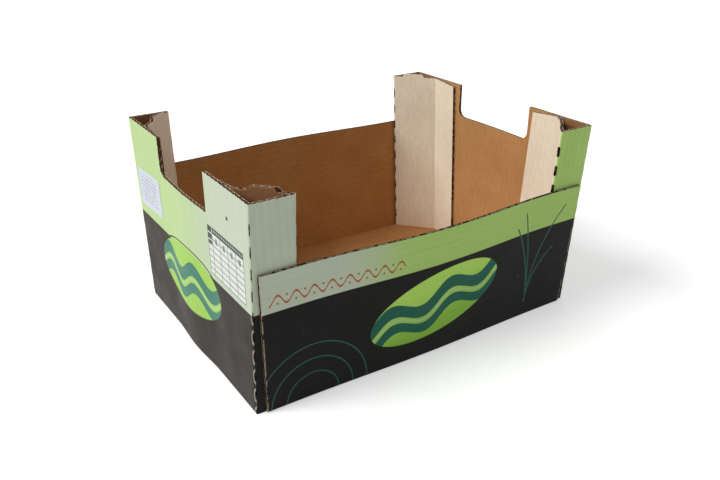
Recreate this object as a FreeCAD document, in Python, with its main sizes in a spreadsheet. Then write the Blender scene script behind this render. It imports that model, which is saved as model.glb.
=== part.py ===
import FreeCAD, Part
import Sketcher
import math
import os
import sys

# Open produce tray folded from one blank of corrugated board.
# Frame: origin at the bottom centre, X along the tray's length, Y across it, Z up. Millimetres.
# One corner is built, towards -X and -Y, and mirrored. The front and back walls differ in height.

SIZES = {
    # sheet and folds
    "board": 3.5,              # thickness of the corrugated board
    "fold_radius": 2,          # outer edge of the posts' folds, creased in two flats
    "fold_bevel": 1.2,         # outer edge of the folds round the base
    # outline
    "tray_length": 396,        # over the flat outer faces of the end walls
    "foot_width": 273.6,       # over the corner strips, at the base
    "crown_width": 297.6,      # over the corner strips, at the top of the posts
    "post_height": 212,        # end walls, strips and webs
    "front_height": 146,       # front wall
    "back_height": 151,        # back wall
    # corner posts
    "strip_width": 44,         # leg of the post along the front or back wall
    "web_reach": 43,           # from the corner to where the web meets the end wall
    "tab_end": 79,             # from the corner to the free edge of the glue tab
    "tab_fall": 3.5,           # drop of the tab's top edge at its free end
    "lug_centre": 25,          # middle of the stacking lug, along the web from the strip
    "lug_foot": 29,            # length of the lug where it leaves the web
    "lug_crown": 23,           # length of the lug's top
    "lug_rise": 4,
    # front and back walls
    "setback_foot": 10,        # from the corner to the wall's side edge, at the base
    "setback_rim": 5.5,        # the same at the wall's top
    "side_bow_foot": 2.75,     # outward bow in the middle, at the base
    "side_bow_rim": 9,         # the same at the wall's top
    # end walls
    "upright_width": 88.5,     # from the corner to the notch
    "notch_floor": 172.5,      # height of the end wall between its uprights
    "notch_radius": 10,
    "end_bow_foot": 2.5,       # outward bow in the middle, at the base
    "end_bow_belly": 4,        # the same where it is largest
    "end_bow_crown": 0.4,      # the same at the height of the posts' top
    "belly_height": 96,
    # cuts along the folds of the posts
    "slit_length": 10.5,
    "slit_pitch": 21,
    "slit_count": 9,
    "slit_depth": 2.6,
    "slit_drop": 22.2,         # from the top of the post to the middle of the highest cut
    # paper label on the left end wall
    "label_width": 66,
    "label_height": 42,
    "label_radius": 2,
    "label_thickness": 0.3,
    "label_edge": 47,          # from the back corner, at the top of the post, to its middle
    "label_middle": 140,       # height of its middle
    "label_tilt": 3,           # degrees, lower towards the corner
}

document = FreeCAD.newDocument("cardboard_tray")
sheet = document.addObject("Spreadsheet::Sheet", "sizes")
for row, (name, number) in enumerate(SIZES.items(), start=1):
    sheet.set(f"A{row}", name)
    sheet.set(f"B{row}", str(number))
    sheet.setAlias(f"B{row}", name)
document.recompute()

BOARD = "sizes.board"
FOLD = "sizes.fold_radius"
FOLD_MIDDLE = f"({FOLD} * (1 - cos(45 deg)))"
TOP = "sizes.post_height"
# Outer face of the left end wall, and edges that follow from it along X.
END_FACE = "(-sizes.tray_length / 2)"
END_INSIDE = f"({END_FACE} + {BOARD})"
TAB_INSIDE = f"({END_FACE} + 2 * {BOARD})"
STRIP_EDGE = f"({END_FACE} + sizes.strip_width)"
SIDE_SPAN = f"(-{STRIP_EDGE})"
# The strips lean out from the base to the top of the posts.
LEAN = "((sizes.crown_width - sizes.foot_width) / 2 / sizes.post_height)"
LEAN_ANGLE = f"atan({LEAN})"
NOTCH_EDGE = "(sizes.upright_width - sizes.crown_width / 2)"
# The web runs from the strip's inner face to the glue tab's inner face.
WEB_X = f"(sizes.strip_width - 2 * {BOARD})"
WEB_Y = f"(sizes.web_reach - {BOARD})"
WEB_RUN = f"sqrt({WEB_X}^2 + {WEB_Y}^2)"
# Legs of the triangular hollow behind the web.
HOLLOW_X = f"(sizes.strip_width - {BOARD} - {BOARD} * {WEB_RUN} / {WEB_Y})"
HOLLOW_Y = f"({HOLLOW_X} * {WEB_Y} / {WEB_X})"

LEFT, RIGHT = 1, -1
FRONT, BACK = 1, -1


def value(expression):
    """Present value of an expression of the sheet, as a plain number."""
    result = sheet.evalExpression(expression)
    return float(getattr(result, "Value", result))


def strip_face(height):
    """Y of the near strip's outer face at a height."""
    return f"(-sizes.foot_width / 2 - {LEAN} * ({height}))"


def wave_radius(span, bow):
    """Radius of the two equal arcs that carry a face from its flat end out to its bow."""
    return f"(({span})^2 + ({bow})^2) / (4 * ({bow}))"


def new_body(name):
    body = document.addObject("PartDesign::Body", name)
    body.Label = name
    return body


def origin_plane(body, role):
    return next(item for item in body.Origin.OriginFeatures if item.Role == role)


def new_sketch(body, name, role="XY_Plane", offset="0", tilt=None, middle=("0", "0")):
    """Sketch on one of the body's planes, moved along its normal and turned about its middle."""
    sketch = body.newObject("Sketcher::SketchObject", name)
    sketch.AttachmentSupport = (origin_plane(body, role), [""])
    sketch.MapMode = "FlatFace"
    if tilt:
        turn = FreeCAD.Rotation(FreeCAD.Vector(0, 0, 1), value(tilt))
        sketch.AttachmentOffset = FreeCAD.Placement(FreeCAD.Vector(), turn)
        sketch.setExpression(".AttachmentOffset.Rotation.Angle", tilt)
    for axis, place in zip("xyz", (*middle, offset)):
        sketch.setExpression(f".AttachmentOffset.Base.{axis}", place)
    document.recompute()
    return sketch


def bind(sketch, constraint, expression):
    number = sketch.addConstraint(constraint)
    sketch.setExpression(f"Constraints[{number}]", expression)


def arc_edge(start, stop, radius, turn):
    """Short arc from start to stop that turns to the LEFT or the RIGHT."""
    chord = stop - start
    normal = FreeCAD.Vector(-chord.y, chord.x, 0).normalize() * turn
    rise = math.sqrt(max(radius ** 2 - (chord.Length / 2) ** 2, 0))
    centre = start + chord * 0.5 + normal * rise
    first, last = (start, stop) if turn == LEFT else (stop, start)
    angles = [math.atan2(point.y - centre.y, point.x - centre.x) for point in (first, last)]
    circle = Part.Circle(centre, FreeCAD.Vector(0, 0, 1), radius)
    return Part.ArcOfCircle(circle, angles[0], angles[1])


def draw_outline(sketch, corners):
    """Closed outline through corners, each (x, y) or (x, y, radius, turn) with its next edge an arc.

    Every size is an expression of the sheet. Corner, edge and radius are all tied to it.
    """
    points = [FreeCAD.Vector(value(corner[0]), value(corner[1]), 0) for corner in corners]
    ends = []
    for index, corner in enumerate(corners):
        start, stop = points[index], points[(index + 1) % len(points)]
        if len(corner) == 2:
            edge = sketch.addGeometry(Part.LineSegment(start, stop), False)
            ends.append((edge, 1, 2))
            continue
        radius, turn = corner[2:]
        edge = sketch.addGeometry(arc_edge(start, stop, value(radius), turn), False)
        ends.append((edge, 1, 2) if turn == LEFT else (edge, 2, 1))
    for index, corner in enumerate(corners):
        edge, head, tail = ends[index]
        following, following_head, _ = ends[(index + 1) % len(ends)]
        sketch.addConstraint(Sketcher.Constraint("Coincident", edge, tail, following, following_head))
        for kind, expression in (("DistanceX", corner[0]), ("DistanceY", corner[1])):
            bind(sketch, Sketcher.Constraint(kind, -1, 1, edge, head, value(expression)), expression)
    for corner, (edge, _, _) in zip(corners, ends):
        if len(corner) == 4:
            bind(sketch, Sketcher.Constraint("Radius", edge, value(corner[2])), corner[2])
    document.recompute()
    if not sketch.FullyConstrained:
        sys.exit(f"{sketch.Label} is not fully constrained")


def add_loft(body, name, sections):
    """Straight-sided loft through (sketch, outline) pairs."""
    for sketch, outline in sections:
        draw_outline(sketch, outline)
    loft = body.newObject("PartDesign::AdditiveLoft", name)
    loft.Profile = sections[0][0]
    loft.Sections = [sketch for sketch, _ in sections[1:]]
    loft.Ruled = True
    document.recompute()
    return loft


def end_bow_span(height):
    """Half the width over which the end wall bows: it is stiff as far as the glue tabs reach."""
    return f"(-{strip_face(height)} - sizes.tab_end)"


def add_base(body):
    """Base panel, which ends half a board inside the walls that fold up from it."""
    sketch = new_sketch(body, "base_outline")
    near = f"({strip_face(0)} - {BOARD} / 2)"
    corner = f"({strip_face(0)} + {BOARD} / 2)"
    end = f"({END_FACE} + {BOARD} / 2)"
    step = f"({end} + sizes.setback_foot)"
    span = end_bow_span(0)
    end_wave = wave_radius(span, "sizes.end_bow_foot")
    side_wave = wave_radius(SIDE_SPAN, "sizes.side_bow_foot")
    draw_outline(sketch, [
        ("0", "0"),
        (f"{end} - sizes.end_bow_foot", "0", end_wave, LEFT),
        (f"{end} - sizes.end_bow_foot / 2", f"-{span} / 2", end_wave, RIGHT),
        (end, f"-{span}"),
        (end, corner),
        (step, corner),
        (step, near),
        (STRIP_EDGE, near, side_wave, RIGHT),
        (f"{STRIP_EDGE} / 2", f"{near} - sizes.side_bow_foot / 2", side_wave, LEFT),
        ("0", f"{near} - sizes.side_bow_foot"),
    ])
    pad = body.newObject("PartDesign::Pad", "base_panel")
    pad.Profile = sketch
    pad.setExpression("Length", BOARD)
    document.recompute()


def end_outline(height, bow, inset):
    """Plan of half the end wall and of the strip that folds round the corner from it."""
    face = strip_face(height)
    outside = f"({END_FACE} + {inset})"
    span = end_bow_span(height)
    wave = wave_radius(span, bow)
    return [
        (f"{outside} - {bow}", "0", wave, LEFT),
        (f"{outside} - {bow} / 2", f"-{span} / 2", wave, RIGHT),
        (outside, f"-{span}"),
        (outside, f"{face} + {FOLD}"),
        (f"{outside} + {FOLD_MIDDLE}", f"{face} + {FOLD_MIDDLE}"),
        (f"{outside} + {FOLD}", face),
        (f"{STRIP_EDGE} - {FOLD}", face),
        (f"{STRIP_EDGE} - {FOLD_MIDDLE}", f"{face} + {FOLD_MIDDLE}"),
        (STRIP_EDGE, f"{face} + {FOLD}"),
        (STRIP_EDGE, f"{face} + {BOARD}"),
        (END_INSIDE, f"{face} + {BOARD}"),
        (END_INSIDE, f"-{span}", wave, LEFT),
        (f"{END_INSIDE} - {bow} / 2", f"-{span} / 2", wave, RIGHT),
        (f"{END_INSIDE} - {bow}", "0"),
    ]


def add_end_wall(body):
    levels = (("foot", "0", "sizes.end_bow_foot", "sizes.fold_bevel"),
              ("fold", "sizes.fold_bevel", "sizes.end_bow_foot", "0"),
              ("belly", "sizes.belly_height", "sizes.end_bow_belly", "0"),
              ("crown", TOP, "sizes.end_bow_crown", "0"))
    add_loft(body, "end_wall_and_strip", [
        (new_sketch(body, f"end_{level}", offset=height), end_outline(height, bow, inset))
        for level, height, bow, inset in levels])


def web_outline(height):
    """Plan of the diagonal web and the glue tab that lies on the end wall."""
    face = strip_face(height)
    return [
        (STRIP_EDGE, f"{face} + {BOARD}"),
        (TAB_INSIDE, f"{face} + sizes.web_reach"),
        (TAB_INSIDE, f"{face} + sizes.tab_end"),
        (END_INSIDE, f"{face} + sizes.tab_end"),
        (END_INSIDE, f"{face} + {BOARD} + {HOLLOW_Y}"),
        (f"{END_INSIDE} + {HOLLOW_X}", f"{face} + {BOARD}"),
    ]


def add_web(body):
    add_loft(body, "web_and_tab", [
        (new_sketch(body, f"web_{level}", offset=height), web_outline(height))
        for level, height in (("foot", "0"), ("crown", TOP))])
    sketch = new_sketch(body, "tab_slope", "YZ_Plane", END_INSIDE)
    bend = f"({strip_face(TOP)} + sizes.web_reach)"
    slope = "(sizes.tab_fall / (sizes.tab_end - sizes.web_reach))"
    # The cut runs on past the tab's free end, which leans as the strip does.
    beyond = f"({strip_face(TOP)} + sizes.tab_end + {BOARD})"
    draw_outline(sketch, [(bend, TOP), (beyond, f"{TOP} - {slope} * ({beyond} - {bend})"), (beyond, TOP)])
    add_pocket(body, "tab_top", sketch, BOARD, towards_normal=True)


def lug_outline(length):
    """Plan of the stacking lug, as thick as the web it stands on."""
    near = f"((sizes.lug_centre - {length} / 2) / {WEB_RUN})"
    far = f"((sizes.lug_centre + {length} / 2) / {WEB_RUN})"
    inner_x, inner_y = STRIP_EDGE, f"({strip_face(TOP)} + {BOARD})"
    outer_x = f"({inner_x} - {BOARD} * {WEB_Y} / {WEB_RUN})"
    outer_y = f"({inner_y} - {BOARD} * {WEB_X} / {WEB_RUN})"
    return [(f"{x} - {WEB_X} * {along}", f"{y} + {WEB_Y} * {along}")
            for x, y, along in ((inner_x, inner_y, near), (inner_x, inner_y, far),
                                (outer_x, outer_y, far), (outer_x, outer_y, near))]


def add_lug(body):
    levels = (("foot", TOP, "sizes.lug_foot"),
              ("crown", f"{TOP} + sizes.lug_rise", "sizes.lug_crown"))
    add_loft(body, "stacking_lug", [
        (new_sketch(body, f"lug_{level}", offset=height), lug_outline(length))
        for level, height, length in levels])


def side_outline(side, height, setback, bow, inset):
    """Plan of half the FRONT or BACK wall, which is glued on the strips and bows out between them."""
    face = f"({side} * {strip_face(height)})"
    outside = f"({side} * ({strip_face(height)} - {BOARD} + {inset}))"
    edge = f"{END_FACE} + {setback}"
    bulge = f"{side} * {bow}"
    wave = wave_radius(SIDE_SPAN, bow)
    outwards, inwards = RIGHT * side, LEFT * side
    return [
        (edge, outside),
        (STRIP_EDGE, outside, wave, outwards),
        (f"{STRIP_EDGE} / 2", f"{outside} - {bulge} / 2", wave, inwards),
        ("0", f"{outside} - {bulge}"),
        ("0", f"{face} - {bulge}", wave, outwards),
        (f"{STRIP_EDGE} / 2", f"{face} - {bulge} / 2", wave, inwards),
        (STRIP_EDGE, face),
        (edge, face),
    ]


def add_side_wall(body, name, side):
    levels = (("foot", "0", "sizes.setback_foot", "sizes.side_bow_foot", "sizes.fold_bevel"),
              ("fold", "sizes.fold_bevel", "sizes.setback_foot", "sizes.side_bow_foot", "0"),
              ("rim", f"sizes.{name}_height", "sizes.setback_rim", "sizes.side_bow_rim", "0"))
    add_loft(body, f"{name}_wall", [
        (new_sketch(body, f"{name}_{level}", offset=height), side_outline(side, height, *plan))
        for level, height, *plan in levels])


def add_pocket(body, name, sketch, depth, towards_normal):
    """Pocket to a depth, or through everything if the depth is None."""
    pocket = body.newObject("PartDesign::Pocket", name)
    pocket.Profile = sketch
    pocket.Reversed = towards_normal
    if depth is None:
        pocket.Type = "ThroughAll"
    else:
        pocket.setExpression("Length", depth)
    before = body.Shape.Volume
    document.recompute()
    if not pocket.Shape.Volume < before:
        sys.exit(f"{name} cuts nothing")
    return pocket


def add_notch(body):
    """Half of the opening between the end wall's uprights, with a rounded lower corner."""
    sketch = new_sketch(body, "notch_outline", "YZ_Plane")
    radius = "sizes.notch_radius"
    floor = "sizes.notch_floor"
    draw_outline(sketch, [
        ("0", TOP),
        (NOTCH_EDGE, TOP),
        (NOTCH_EDGE, f"{floor} + {radius}", radius, LEFT),
        (f"{NOTCH_EDGE} + {radius}", floor),
        ("0", floor),
    ])
    add_pocket(body, "end_notch", sketch, None, towards_normal=False)


def add_slits(body, name, plane_offset, inwards):
    """Row of short cuts down one fold of the post; it follows the lean of the strip."""
    sketch = new_sketch(body, f"{name}_outline", "YZ_Plane", plane_offset, LEAN_ANGLE)
    edge = f"({strip_face(0)} * cos({LEAN_ANGLE}))"
    along = (f"((sizes.post_height - sizes.slit_drop) / cos({LEAN_ANGLE})"
             f" - {strip_face(0)} * sin({LEAN_ANGLE}))")
    low, high = f"{along} - sizes.slit_length / 2", f"{along} + sizes.slit_length / 2"
    draw_outline(sketch, [
        (edge, low),
        (f"{edge} + sizes.slit_depth", low),
        (f"{edge} + sizes.slit_depth", high),
        (edge, high),
    ])
    pocket = add_pocket(body, name, sketch, "sizes.slit_depth", inwards)
    pattern = body.newObject("PartDesign::LinearPattern", f"{name}_row")
    pattern.Originals = [pocket]
    pattern.Direction = (sketch, ["V_Axis"])
    pattern.Reversed = True
    pattern.Mode = "Spacing"
    pattern.setExpression("Offset", "sizes.slit_pitch")
    pattern.setExpression("Occurrences", "sizes.slit_count")
    body.Tip = pattern
    document.recompute()


def mirror_all(body, name, role):
    mirror = body.newObject("PartDesign::Mirrored", name)
    mirror.TransformMode = "Whole shape"
    mirror.MirrorPlane = (origin_plane(body, role), [""])
    body.Tip = mirror
    document.recompute()


def make_folded_tray():
    body = new_body("folded_tray")
    add_base(body)
    add_end_wall(body)
    add_web(body)
    add_lug(body)
    add_notch(body)
    add_slits(body, "corner_slit", END_FACE, inwards=True)
    add_slits(body, "strip_slit", STRIP_EDGE, inwards=False)
    mirror_all(body, "front_and_back", "XZ_Plane")
    add_side_wall(body, "front", FRONT)
    add_side_wall(body, "back", BACK)
    mirror_all(body, "left_and_right", "YZ_Plane")


def make_paper_label():
    """Sticker on the flat part of the left end wall, beside the back corner."""
    body = new_body("paper_label")
    middle = ("sizes.crown_width / 2 - sizes.label_edge", "sizes.label_middle")
    sketch = new_sketch(body, "label_outline", "YZ_Plane", END_FACE, "-sizes.label_tilt", middle)
    across, upright = "sizes.label_width / 2", "sizes.label_height / 2"
    radius = "sizes.label_radius"
    draw_outline(sketch, [
        (f"-{across} + {radius}", f"-{upright}"),
        (f"{across} - {radius}", f"-{upright}", radius, LEFT),
        (across, f"-{upright} + {radius}"),
        (across, f"{upright} - {radius}", radius, LEFT),
        (f"{across} - {radius}", upright),
        (f"-{across} + {radius}", upright, radius, LEFT),
        (f"-{across}", f"{upright} - {radius}"),
        (f"-{across}", f"-{upright} + {radius}", radius, LEFT),
    ])
    pad = body.newObject("PartDesign::Pad", "label_sheet")
    pad.Profile = sketch
    pad.Reversed = True
    pad.setExpression("Length", "sizes.label_thickness")
    document.recompute()


make_folded_tray()
make_paper_label()

for item in document.Objects:
    if {"Invalid", "Error"} & set(item.State):
        sys.exit(f"{item.Label} failed: {item.State}")
bodies = [item for item in document.Objects if item.TypeId == "PartDesign::Body"]
for body in bodies:
    if body.Shape.isNull() or not body.Shape.isValid() or len(body.Shape.Solids) != 1:
        sys.exit(f"{body.Label} has no single valid solid")

os.makedirs("parts", exist_ok=True)
for body in bodies:
    body.Shape.exportStep(f"parts/{body.Label}.step")
    box = body.Shape.BoundBox
    print(body.Label, "volume", round(body.Shape.Volume), "faces", len(body.Shape.Faces),
          "size", [round(side, 2) for side in (box.XLength, box.YLength, box.ZLength)])
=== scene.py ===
import math

import bpy
import numpy as np
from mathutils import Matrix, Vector, geometry


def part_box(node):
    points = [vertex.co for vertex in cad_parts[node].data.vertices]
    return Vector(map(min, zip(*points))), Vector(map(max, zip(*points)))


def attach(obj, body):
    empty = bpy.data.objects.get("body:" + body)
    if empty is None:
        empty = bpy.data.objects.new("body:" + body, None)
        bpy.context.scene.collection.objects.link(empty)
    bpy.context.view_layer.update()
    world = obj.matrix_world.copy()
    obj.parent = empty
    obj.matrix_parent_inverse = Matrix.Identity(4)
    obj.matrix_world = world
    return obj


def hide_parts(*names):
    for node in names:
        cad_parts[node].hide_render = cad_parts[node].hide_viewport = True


# Open produce tray of printed corrugated board, folded from one blank.
# The board is modelled as it is made: two papers with a wavy one between them, open at each cut edge.
# Metres. +X runs along the tray, +Y from the front wall to the back wall, +Z up.

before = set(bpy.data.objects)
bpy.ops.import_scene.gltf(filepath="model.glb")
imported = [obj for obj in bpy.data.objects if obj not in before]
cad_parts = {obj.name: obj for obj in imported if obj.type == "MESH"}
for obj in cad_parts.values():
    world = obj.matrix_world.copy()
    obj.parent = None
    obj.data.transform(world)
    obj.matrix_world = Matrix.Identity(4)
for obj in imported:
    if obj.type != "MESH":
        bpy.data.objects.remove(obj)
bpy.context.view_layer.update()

MM = 0.001

# Board, as thick as in the solid that it stands for
BOARD = 3.5 * MM
PAPER = 0.4 * MM
SKIN = PAPER / BOARD
FLUTE_PITCH = 7.4 * MM
FLUTE_PAPER = 0.42 * MM
GLUE_GAP = 0.1 * MM
TORN_RIM = 2.4 * MM
FOLD = 2 * MM
FOLD_BEVEL = 1.2 * MM
PINCH = 0.3 * MM

# Outline
HALF_LENGTH = 198 * MM
FOOT_HALF = 136.8 * MM
CROWN_HALF = 148.8 * MM
POST_HEIGHT = 212 * MM
LEAN = (CROWN_HALF - FOOT_HALF) / POST_HEIGHT
FRONT_HEIGHT = 146 * MM
BACK_HEIGHT = 151 * MM

# Posts
STRIP_WIDTH = 44 * MM
WEB_REACH = 43 * MM
TAB_END = 79 * MM
TAB_FALL = 3.5 * MM
LUG_CENTRE = 25 * MM
LUG_FOOT = 29 * MM
LUG_CROWN = 23 * MM
LUG_RISE = 4 * MM

# End walls. The upright at the front left corner is wider than the others, with a sharper notch.
UPRIGHT_WIDTH = 88.5 * MM
NOTCH_RADIUS = 10 * MM
SHARP_UPRIGHT_WIDTH = 92 * MM
SHARP_NOTCH_RADIUS = 2.5 * MM
NOTCH_FLOOR = 172.5 * MM
WALL_FLAT = 65 * MM
END_BOW_HEIGHTS = [0, 96 * MM, POST_HEIGHT]
END_BOWS = [2.5 * MM, 4 * MM, 0.4 * MM]

# Front and back walls
SETBACK_FOOT = 10 * MM
SETBACK_RIM = 5.5 * MM
SIDE_BOW_FOOT = 2.75 * MM
SIDE_BOW_RIM = 9 * MM

# Cuts along the folds of the posts
SLIT_LENGTH = 12 * MM
SLIT_TAPER = 1.4 * MM
SLIT_PITCH = 21 * MM
SLIT_COUNT = 9
SLIT_TOP = POST_HEIGHT - 22.2 * MM
CORNER_SLIT = 0.65 * MM
STRIP_SLIT = 1.9 * MM

# Fineness of the end sheets, which bend along these lines
WALL_STEP = 4 * MM
WEB_LINES = 12
TAB_LINES = 6
NOTCH_POINTS = 7
END_ROWS = [FOLD_BEVEL, 12 * MM, 40 * MM, 68 * MM, END_BOW_HEIGHTS[1], 120 * MM, 145 * MM, 160 * MM,
            NOTCH_FLOOR - 1 * MM, 190 * MM, POST_HEIGHT - 4 * MM]
CUT_MARGIN = 5 * MM
CUT_TOLERANCE = 1e-4
INSIDE_TRIANGLES = 1

# Fineness of the other papers
SIDE_COLUMNS = 101
SIDE_ROWS = 14
BASE_END_POINTS = 12
BASE_SIDE_POINTS = 16
BASE_COLUMNS = [-100 * MM, 0, 100 * MM]
BASE_ROWS = [-70 * MM, 0, 70 * MM]
FLUTE_STEPS = 8
FLUTE_COLUMNS = 31
FLUTE_LEVELS = [END_BOW_HEIGHTS[1], 150 * MM]
FLUTE_FOOT = 0.3 * MM
UPRIGHT_GAP = 0.1 * MM
SHARP_ANGLE = math.radians(30)

# Material slots of each piece of board
SIDE_PRINT, END_PRINT, WHITE_PAPER, SIDE_KRAFT, END_KRAFT, FLUTES, SIDE_EDGE, END_EDGE = range(8)


class Piece:
    """Points and faces of one piece, with a print coordinate for each point and a material for each face."""

    def __init__(self):
        self.points, self.faces, self.prints, self.slots = [], [], [], []

    def add(self, points, faces, prints, slots):
        start = sum(len(block) for block in self.points)
        self.points.append(points)
        self.prints.append(prints)
        self.faces += [[start + corner for corner in face] for face in faces]
        self.slots += slots

    def finish(self, name, materials):
        mesh = bpy.data.meshes.new(name)
        mesh.from_pydata(np.concatenate(self.points).tolist(), [], self.faces)
        prints = np.concatenate(self.prints)
        layer = mesh.uv_layers.new(name="print")
        for loop, entry in zip(mesh.loops, layer.data):
            entry.uv = prints[loop.vertex_index]
        for material in materials:
            mesh.materials.append(material)
        mesh.polygons.foreach_set("material_index", self.slots)
        mesh.shade_smooth()
        mesh.set_sharp_from_angle(angle=SHARP_ANGLE)
        mesh.update()
        piece = bpy.data.objects.new(name, mesh)
        bpy.context.scene.collection.objects.link(piece)
        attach(piece, "root")
        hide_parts("folded_tray")
        return piece


def rim_edges(faces):
    """Directed edges that belong to one face only."""
    edges = {}
    for face in faces:
        for a, b in zip(face, [*face[1:], face[0]]):
            edges[(a, b)] = True
    return [edge for edge in edges if (edge[1], edge[0]) not in edges]


def add_layer(piece, place, flat, faces, near, far, near_slots, far_slot, rim_slot):
    """One closed layer of paper between two depths of the board, where 0 is the printed side."""
    count = len(flat)
    near_points, near_prints = place(flat, near)
    far_points, far_prints = place(flat, far)
    flipped = [[count + corner for corner in reversed(face)] for face in faces]
    rims = [[b, a, count + a, count + b] for a, b in rim_edges(faces)]
    slots = [*near_slots, *[far_slot] * len(faces), *[rim_slot] * len(rims)]
    piece.add(np.concatenate([near_points, far_points]), [*faces, *flipped, *rims],
              np.concatenate([near_prints, far_prints]), slots)


def grid(columns, rows):
    """Faces of a plain grid whose points run row by row."""
    return [[row * columns + column, row * columns + column + 1,
             (row + 1) * columns + column + 1, (row + 1) * columns + column]
            for row in range(rows - 1) for column in range(columns - 1)]


def flip(faces, wanted=True):
    """Faces with their front and back sides swapped, if wanted."""
    return [face[::-1] for face in faces] if wanted else faces


def smooth_bump(share):
    """1 in the middle, 0 at and beyond the ends, with no kink."""
    return np.where(np.abs(share) < 1, (1 + np.cos(np.pi * np.clip(share, -1, 1))) / 2, 0)


def strip_face(height):
    """Distance of the strips' outer face from the middle, at a height."""
    return FOOT_HALF + LEAN * height


def bevel(height, depth):
    """How far the fold round the base stands in from the face."""
    return np.clip(FOLD_BEVEL - height, 0, None) * (1 - depth)


# Section of a post: creases from the middle of the end wall to the glue tab's free end.
# Each is (outer inset, outer y, inner inset, inner y, rides with the lean).
WEB_X = STRIP_WIDTH - 2 * BOARD
WEB_Y = WEB_REACH - BOARD
WEB_RUN = math.hypot(WEB_X, WEB_Y)
HOLLOW_X = STRIP_WIDTH - BOARD - BOARD * WEB_RUN / WEB_Y
HOLLOW_Y = HOLLOW_X * WEB_Y / WEB_X
CREASE = FOLD * (1 - math.sqrt(0.5))
APEX_X, APEX_Y = BOARD + HOLLOW_X, FOOT_HALF - BOARD
CREASES = np.array([
    (0, 0, BOARD, 0, 0),
    (0, WALL_FLAT, BOARD, WALL_FLAT, 0),
    (0, FOOT_HALF - FOLD, BOARD, APEX_Y - PINCH, 1),
    (CREASE, FOOT_HALF - CREASE, BOARD + PINCH / 3, APEX_Y - PINCH / 3, 1),
    (FOLD, FOOT_HALF, BOARD + PINCH, APEX_Y, 1),
    (STRIP_WIDTH - FOLD, FOOT_HALF, APEX_X - 2 * PINCH, APEX_Y, 1),
    (STRIP_WIDTH - CREASE, FOOT_HALF - CREASE, APEX_X - PINCH, APEX_Y, 1),
    (STRIP_WIDTH, FOOT_HALF - FOLD, APEX_X, APEX_Y, 1),
    (STRIP_WIDTH, FOOT_HALF - BOARD, APEX_X - PINCH * WEB_X / WEB_RUN, APEX_Y - PINCH * WEB_Y / WEB_RUN, 1),
    (2 * BOARD, FOOT_HALF - WEB_REACH, BOARD + GLUE_GAP, APEX_Y - HOLLOW_Y, 1),
    (2 * BOARD, FOOT_HALF - TAB_END, BOARD + GLUE_GAP, FOOT_HALF - TAB_END, 1),
])
OUTER_STEPS = np.hypot(*np.diff(CREASES[:, 0:2], axis=0).T)
RUN = np.concatenate([[0], np.cumsum(OUTER_STEPS)])
WALL_END, CORNER, STRIP_START, STRIP_END = RUN[2:6]
STRIP_CORNER, WEB_START, TAB_START, TAB_STOP = RUN[7:11]
FOLD_LINES = RUN[2:9]
LUG_MIDDLE = WEB_START + LUG_CENTRE
PRINT_RUN = np.concatenate([CREASES[:3, 1], FOOT_HALF + RUN[3:] - CORNER])


def end_bow(across, height):
    """Outward bow of an end wall, which is stiff as far as the glue tabs reach."""
    span = strip_face(height) - TAB_END
    return np.interp(height, END_BOW_HEIGHTS, END_BOWS) * smooth_bump(across / span)


def place_end(side):
    """Function that folds the flat end sheet into place, at the left (-1) or right (1) end."""
    def place(flat, depth):
        run, height = np.abs(flat[:, 0]), flat[:, 1]
        back = np.where(flat[:, 0] < 0, -1, 1)
        depth = np.broadcast_to(depth, run.shape)
        outer_x, outer_y, inner_x, inner_y, lean = (np.interp(run, RUN, column) for column in CREASES.T)
        inset = outer_x + (inner_x - outer_x) * depth + bevel(height, depth) * (run < CORNER)
        across = outer_y + (inner_y - outer_y) * depth + LEAN * height * lean
        reach = HALF_LENGTH - inset + end_bow(across, height)
        points = np.column_stack([side * reach, back * across, height])
        printed = side * back * (np.interp(run, RUN, PRINT_RUN) + LEAN * height * lean)
        return points, np.column_stack([printed, height])
    return place


def place_side(side, rim):
    """Function that stands the flat front (-1) or back (1) wall in place."""
    def place(flat, depth):
        across, height = flat[:, 0], flat[:, 1]
        depth = np.broadcast_to(depth, across.shape)
        bow = SIDE_BOW_FOOT + (SIDE_BOW_RIM - SIDE_BOW_FOOT) * height / rim
        bow = bow * smooth_bump(across / (HALF_LENGTH - STRIP_WIDTH))
        reach = strip_face(height) + GLUE_GAP + (BOARD - GLUE_GAP) * (1 - depth) + bow - bevel(height, depth)
        points = np.column_stack([across, side * reach, height])
        return points, np.column_stack([-side * across, height])
    return place


def place_base(flat, depth):
    """The base panel lies flat, with its outer side on the floor."""
    return np.column_stack([flat, np.full(len(flat), depth * BOARD)]), flat


def arc_points(centre, radius, start, stop, count):
    """Points along an arc, between two angles in degrees."""
    angles = np.radians(np.linspace(start, stop, count))
    return [(centre[0] + radius * math.cos(angle), centre[1] + radius * math.sin(angle)) for angle in angles]


def half_end_outline(upright, radius):
    """Outline of half the flat end sheet, from the middle of its foot to the middle of the notch floor."""
    edge = CROWN_HALF - upright
    return [
        (0, 0),
        (STRIP_START + SETBACK_FOOT - FOLD, 0),
        (STRIP_START + SETBACK_FOOT - FOLD, BOARD),
        (TAB_STOP, BOARD),
        (TAB_STOP, POST_HEIGHT - TAB_FALL),
        (TAB_START, POST_HEIGHT),
        (LUG_MIDDLE + LUG_FOOT / 2, POST_HEIGHT),
        (LUG_MIDDLE + LUG_CROWN / 2, POST_HEIGHT + LUG_RISE),
        (LUG_MIDDLE - LUG_CROWN / 2, POST_HEIGHT + LUG_RISE),
        (LUG_MIDDLE - LUG_FOOT / 2, POST_HEIGHT),
        (edge, POST_HEIGHT),
        *arc_points((edge - radius, NOTCH_FLOOR + radius), radius, 0, -90, NOTCH_POINTS),
        (0, NOTCH_FLOOR),
    ]


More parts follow.
